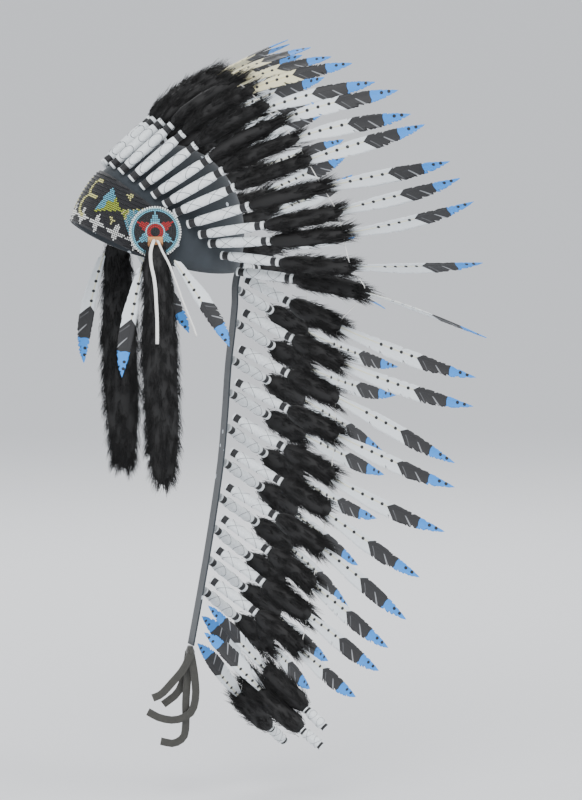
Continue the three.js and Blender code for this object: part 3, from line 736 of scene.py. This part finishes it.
def make_blade(name, feather, fluff_length, rng, tint):
    """One feather from inside its fluff to its tip, as a thin closed vane with a round quill."""
    start = fluff_length * 0.8
    length = feather.length - start
    shape = blade_shape(rng)
    u = start + shape[:, 0] * length
    room = np.maximum(feather.length - u, 0)
    slant = np.minimum(shape[:, 3], room)
    narrow = min(1.0, length / 0.12 * 0.35 + 0.65)
    flat = np.stack([u + slant, shape[:, 1] * narrow, shape[:, 2]], -1)
    columns = len(BLADE_COLUMNS)
    count = len(flat)
    half_thick = np.array((0, 0, VANE["half_thick"]))
    points = np.vstack([flat + half_thick, flat - half_thick])
    top = sheet_faces(BLADE_ROWS, columns)
    faces = [face[::-1] for face in top] + [[i + count for i in face] for face in top]
    border = list(range(columns))
    border += [i * columns + columns - 1 for i in range(1, BLADE_ROWS)]
    border += [(BLADE_ROWS - 1) * columns + j for j in range(columns - 2, -1, -1)]
    border += [i * columns for i in range(BLADE_ROWS - 2, 0, -1)]
    for i, a in enumerate(border):
        b = border[(i + 1) % len(border)]
        faces.append([a, b, b + count, a + count])
    quill_steps = np.linspace(start, feather.length - 0.003, 24)
    quill_route = np.stack([quill_steps, np.zeros(24), np.zeros(24)], -1)
    quill_points, quill_faces = tube(quill_route, np.linspace(0.00125, 0.0004, 24), 6)
    faces += [[i + len(points) for i in face] for face in quill_faces]
    everything = np.vstack([points, quill_points])
    scale = min(1.0, length / 0.15)
    uv = np.stack([(feather.length - everything[:, 0]) / scale, everything[:, 1]], -1)
    sway = rng.uniform(-0.003, 0.003)
    piece = mesh_piece(name, feather.place(everything, sway), faces, feather_finishes[tint])
    corner = np.empty(len(piece.data.loops), dtype=int)
    piece.data.loops.foreach_get("vertex_index", corner)
    layer = piece.data.uv_layers.new(name="vane")
    layer.data.foreach_set("uv", uv[corner].ravel())
    return piece


kinds = ("crown_feather", "trail_feather")
feather_nodes = sorted(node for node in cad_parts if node.startswith(kinds))
feathers = {}
for number, node in enumerate(feather_nodes):
    feather = Feather(node)
    feathers[node] = feather
    in_crown = node.startswith("crown")
    size = CROWN_FLUFF if in_crown else TRAIL_FLUFF
    fluff = laid_copy(fluff_masters["crown" if in_crown else "trail"][number % 3], node + "_fluff", feather)
    wrap = laid_copy(wrap_master, node + "_wrap", feather, scale=(feather.quill / QUILL, 1, 1))
    position = int(node.rsplit("_", 1)[1]) if node[-1].isdigit() else 0
    # The crown feathers numbered below four get the vane with painted warm lamp light in its colour.
    tint = "lamp_warmed" if in_crown and position < 4 else "white"
    blade = make_blade(node + "_blade", feather, size["length"], rng, tint)
    for piece in (fluff, wrap, blade):
        settle(piece, "wrapped_feather", node)
for master in [wrap_master, *fluff_masters["crown"], *fluff_masters["trail"]]:
    bpy.data.objects.remove(master)


# Bridle thread. A thin white thread runs from feather to feather just inside the ends of the fluffs and
# keeps them evenly spread, on each side of the trail and round the crown.
def thread_piece(name, stops, radius, material):
    route = smooth_route(np.array(stops), 4)
    return mesh_piece(name, *tube(route, radius, 5, across=(0.3, 1, 0.1)), material)


for side in ("left", "right"):
    stops = []
    for place_name, size in (("crown", CROWN_FLUFF), ("trail", TRAIL_FLUFF)):
        for number in range(1, 13):
            feather = feathers[f"{place_name}_feather_{side}_{number}"]
            stops.append(feather.place(np.array([[size["length"] * 0.93, 0, 0]]))[0])
    bridle = thread_piece(f"bridle_thread_{side}", stops, 0.0006, leather.material)
    settle(bridle, "white_lace")

# Trail. A narrow strip of slate cloth sewn inside the cap's back edge hangs down the back, and both rows
# of feathers are laced to its edges. It ends in a knot of dark ribbons.
strip_points = node_points("trail_strip")
left_edge = strip_points[strip_points[:, 1] < 0]
right_edge = strip_points[strip_points[:, 1] > 0]
half = np.abs(strip_points[:, 1]).max()
edge = left_edge[np.argsort(-left_edge[:, 2])]
centres = np.array([edge[i:i + 2].mean(axis=0) for i in range(0, len(edge) - 1, 2)])
centres[:, 1] = 0
line = smooth_route(centres, 3)
tangents = np.gradient(line, axis=0)
tangents /= np.linalg.norm(tangents, axis=1)[:, None]
shares = np.array([-1, -0.93, -0.5, 0, 0.5, 0.93, 1])
grid = line[:, None] + np.array([0, 1, 0]) * (shares * half)[None, :, None]
strip = mesh_piece("trail_cloth", grid.reshape(-1, 3), sheet_faces(len(line), len(shares)), cloth.material)
finish_shell(strip, 0.0018, offset=0)
settle(strip, "cap_cloth", "trail_strip")
2 * half

ribbon_cloth = Finish("dark_ribbon", Roughness=0.55, Sheen_Weight=0.2)
ribbon_grain = ribbon_cloth.place.noise(260)
ribbon_cloth.fill("Base Color", ribbon_grain.blend((0.02, 0.02, 0.017, 1), (0.05, 0.048, 0.04, 1)))
ribbon_cloth.bump(ribbon_grain, 0.3, 0.0003)
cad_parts["ribbon_tie"].data.materials.clear()
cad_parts["ribbon_tie"].data.materials.append(ribbon_cloth.material)

# Rosettes. A round beaded disc on a pad at each temple: a light-blue rim with white edging, a six-armed
# star in blue and red on black, and rings of blue and red about the middle.
ROSETTE = {"round": 76, "rise": 8, "pad": 0.0065, "wall": 0.003, "gap": 0.0005}
EDGING = {"beads": 60, "reach": 30.1, "height": 0.0075, "bead": 0.0013}
felt = Finish("black_felt", Roughness=0.9, Sheen_Weight=0.2)
felt_fuzz = felt.place.noise(500)
felt.fill("Base Color", felt_fuzz.blend((0.006, 0.006, 0.008, 1), (0.022, 0.022, 0.026, 1)))
out = on_head(ROSETTE["round"], ROSETTE["rise"], 0.001) - on_head(ROSETTE["round"], ROSETTE["rise"])
out /= np.linalg.norm(out)
seat = on_head(ROSETTE["round"], ROSETTE["rise"], BAND["gap"] + BAND["wall"]) + out * ROSETTE["gap"]
down = np.array([0, 0, -1.0]) + out * out[2]
down /= np.linalg.norm(down)
side_way = np.cross(down, out)


def on_rosette(radius, turn, height):
    """A place on the left disc: millimetres from its middle, turn from straight up, height above its seat."""
    reach = radius * MM
    return seat + out * height - down * reach * math.cos(turn) + side_way * reach * math.sin(turn)


RIM_SKY = (0.42, 0.72, 0.78)
RING_SKY = (0.42, 0.70, 0.82)


def rosette_colour(radius, angle):
    """The colour of a bead at a radius in millimetres and an angle in degrees from straight up."""
    if radius > 25.5:
        return SKY if radius < 27.5 else RIM_SKY
    if radius < 4.5:
        return BLACK
    if radius < 9:
        return RED
    if radius < 11:
        return RING_SKY
    for number in range(6):
        middle = number * 60
        apart = abs((angle - middle + 180) % 360 - 180)
        if apart < 26 * (1 - (radius - 11) / 13.5):
            return SKY if number % 2 == 0 else RED
    return BLACK


SIDES = {"left": np.array((1, 1, 1)), "right": np.array((1, -1, 1))}
for side, mirror in SIDES.items():
    spots = []
    for ring in range(1, 14):
        radius = ring * 2.18
        crowning = 0.75 if radius < 15 else 0.75 - 0.4 * (radius - 15) / 14
        height = ROSETTE["pad"] + ROSETTE["wall"] * crowning
        count = int(2 * math.pi * radius / 2.25)
        for number in range(count):
            angle = 360 * number / count
            spot = on_rosette(radius, math.radians(angle), height)
            spots.append((spot * mirror, out * mirror, 0.00108, rosette_colour(radius, angle)))
    for number in range(EDGING["beads"]):
        turn = number / EDGING["beads"] * 2 * math.pi
        spot = on_rosette(EDGING["reach"], turn, EDGING["height"])
        spots.append((spot * mirror, out * mirror, EDGING["bead"], WHITE))
    beads = beadwork(f"rosette_{side}_beads", spots, glass.material)
    settle(beads, "rosette_beads")
    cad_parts[f"rosette_{side}"].data.materials.clear()
    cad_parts[f"rosette_{side}"].data.materials.append(felt.material)

# Temple drops. Below each rosette a tan leather tab holds a long tail of black fur and two short
# feathers. The fur is a dark core with thousands of hairs that hang down.
hide = Finish("tan_leather", Roughness=0.7)
hide_grain = hide.place.noise(300)
hide.fill("Base Color", hide_grain.blend((0.46, 0.20, 0.07, 1), (0.62, 0.30, 0.12, 1)))
hide.bump(hide_grain, 0.3, 0.0004)
# Each fur row is its drop below the tab, its middle back and outwards, and its half width and depth.
FUR_ROWS = [(3.6, 0, -2.2, 8, 1), (9, -0.5, -5, 13, 2), (19, -1.5, -9.4, 16, 3), (32, -2, -11.5, 18, 6),
            (62, 1, -12, 20, 9), (112, 1.5, -12, 24, 11), (160, 3, -12, 24, 11), (208, 5, -12, 23.5, 11),
            (252, 6.5, -12, 20, 10), (278, 7, -12, 15, 8), (288, 7, -12, 6, 4)]
TAB = {"down": 0.012, "half_width": 0.009, "half_height": 0.006, "wall": 0.0024}
DROP_FEATHERS = [((-18, -27), (-43, -160)), ((21, -22), (88, -126))]
DROP_OUT = -8.5
tab_middle = seat + out * (ROSETTE["pad"] + ROSETTE["wall"] + ROSETTE["gap"] + TAB["wall"] / 2)
tab_middle = tab_middle + down * TAB["down"]


class ShortFeather(Feather):
    """A straight feather from a bend to a tip, with the wide side given."""

    def __init__(self, start, tip, wide):
        self.end = start
        self.tip = tip
        self.along = (tip - start) / np.linalg.norm(tip - start)
        self.bend = (start + tip) / 2 + wide * 0.004
        samples = self.curve(np.linspace(0, 1, 60))
        self.lengths = np.concatenate([[0], np.cumsum(np.linalg.norm(np.diff(samples, axis=0), axis=1))])
        self.length = self.lengths[-1]
        self.wide = wide


fur_rows = np.array(FUR_ROWS) * MM
CORE_SHARE = 0.86
TAIL_LOCKS = 620
TAIL_HAIRS_A_LOCK = 13
for side, mirror in SIDES.items():
    sides = 16
    turns = np.arange(sides) / sides * 2 * math.pi
    rings = []
    for drop, x, y, wide, deep in fur_rows:
        middle = tab_middle + (x, y, -drop)
        rings.append(np.stack([middle[0] + np.cos(turns) * wide * CORE_SHARE,
                               middle[1] + np.sin(turns) * deep * CORE_SHARE,
                               np.full(sides, middle[2])], -1))
    points = [np.vstack(rings)]
    faces = sheet_faces(len(rings), sides, closed=True)
    faces.append(list(range(sides - 1, -1, -1)))
    faces.append(list(range((len(rings) - 1) * sides, len(rings) * sides)))
    first = len(points[0])
    for _ in range(TAIL_LOCKS):
        drop = rng.uniform(0.004, 0.286)
        row = [np.interp(drop, fur_rows[:, 0], fur_rows[:, column]) for column in range(1, 5)]
        turn = rng.uniform(0, 2 * math.pi)
        away = np.array([math.cos(turn), math.sin(turn) * 0.7, 0])
        on_core = (math.cos(turn) * row[2] * 0.85, math.sin(turn) * row[3] * 0.85, 0)
        root = tab_middle + (row[0], row[1], -drop) + on_core
        lean = rng.uniform(0.12, 0.5)
        reach = rng.uniform(0.011, 0.019) * min(1.0, 0.35 + drop / 0.05)
        tip = root + reach * (away * math.sin(lean) - np.array([0, 0, math.cos(lean)]))
        for _ in range(TAIL_HAIRS_A_LOCK):
            scatter = np.array([rng.gauss(0, 0.0022), rng.gauss(0, 0.0014), rng.gauss(0, 0.003)])
            start = root + scatter - away * 0.0014
            stray = np.array([rng.gauss(0, 0.0016), rng.gauss(0, 0.0013), rng.gauss(0, 0.002)])
            end = tip + scatter * 0.45 + stray
            across = np.cross(end - start, away)
            across /= np.linalg.norm(across) + 1e-9
            half = rng.uniform(0.0003, 0.00048)
            points.append(np.array([start + across * half, start - across * half, start + away * half, end]))
            faces += [[first, first + 2, first + 3], [first + 2, first + 1, first + 3],
                      [first + 1, first, first + 3], [first, first + 1, first + 2]]
            first += 4
    if side == "right":
        faces = [list(face)[::-1] for face in faces]
    fur = mesh_piece(f"temple_drop_{side}_fur", np.vstack(points) * mirror, faces, black_fur.material)
    settle(fur, "temple_fur", f"temple_drop_{side}")
    corners = []
    for across_tab in (-1, 1):
        for along_tab in (-1, 1):
            for through_tab in (-1, 1):
                corners.append(tab_middle + side_way * across_tab * TAB["half_width"]
                               + down * along_tab * TAB["half_height"] + out * through_tab * TAB["wall"] / 2)
    box_faces = [(0, 1, 3, 2), (4, 6, 7, 5), (0, 4, 5, 1), (2, 3, 7, 6), (0, 2, 6, 4), (1, 5, 7, 3)]
    tab_name = f"temple_drop_{side}_tab"
    tab = mesh_piece(tab_name, np.array(corners) * mirror, box_faces, hide.material, smooth=False)
    bpy.ops.object.select_all(action="DESELECT")
    bpy.context.view_layer.objects.active = tab
    tab.select_set(True)
    bpy.ops.object.mode_set(mode="EDIT")
    bpy.ops.mesh.select_all(action="SELECT")
    bpy.ops.mesh.normals_make_consistent(inside=False)
    bpy.ops.mesh.bevel(offset=0.0008, segments=2)
    bpy.ops.object.mode_set(mode="OBJECT")
    settle(tab, "temple_fur", f"temple_drop_{side}")
    for number, (bend, tip) in enumerate(DROP_FEATHERS, start=1):
        start = tab_middle + np.array([bend[0], DROP_OUT, bend[1]]) * MM
        end = tab_middle + np.array([tip[0], DROP_OUT, tip[1]]) * MM
        wide = np.cross((end - start) / np.linalg.norm(end - start), (0, 1, 0))
        wide *= -1 if number == 1 else 1
        feather = ShortFeather(start * mirror, end * mirror, wide * mirror)
        blade = make_blade(f"temple_drop_{side}_feather_{number}", feather, 0.0, rng, "white")
        settle(blade, "temple_fur", f"temple_drop_{side}")
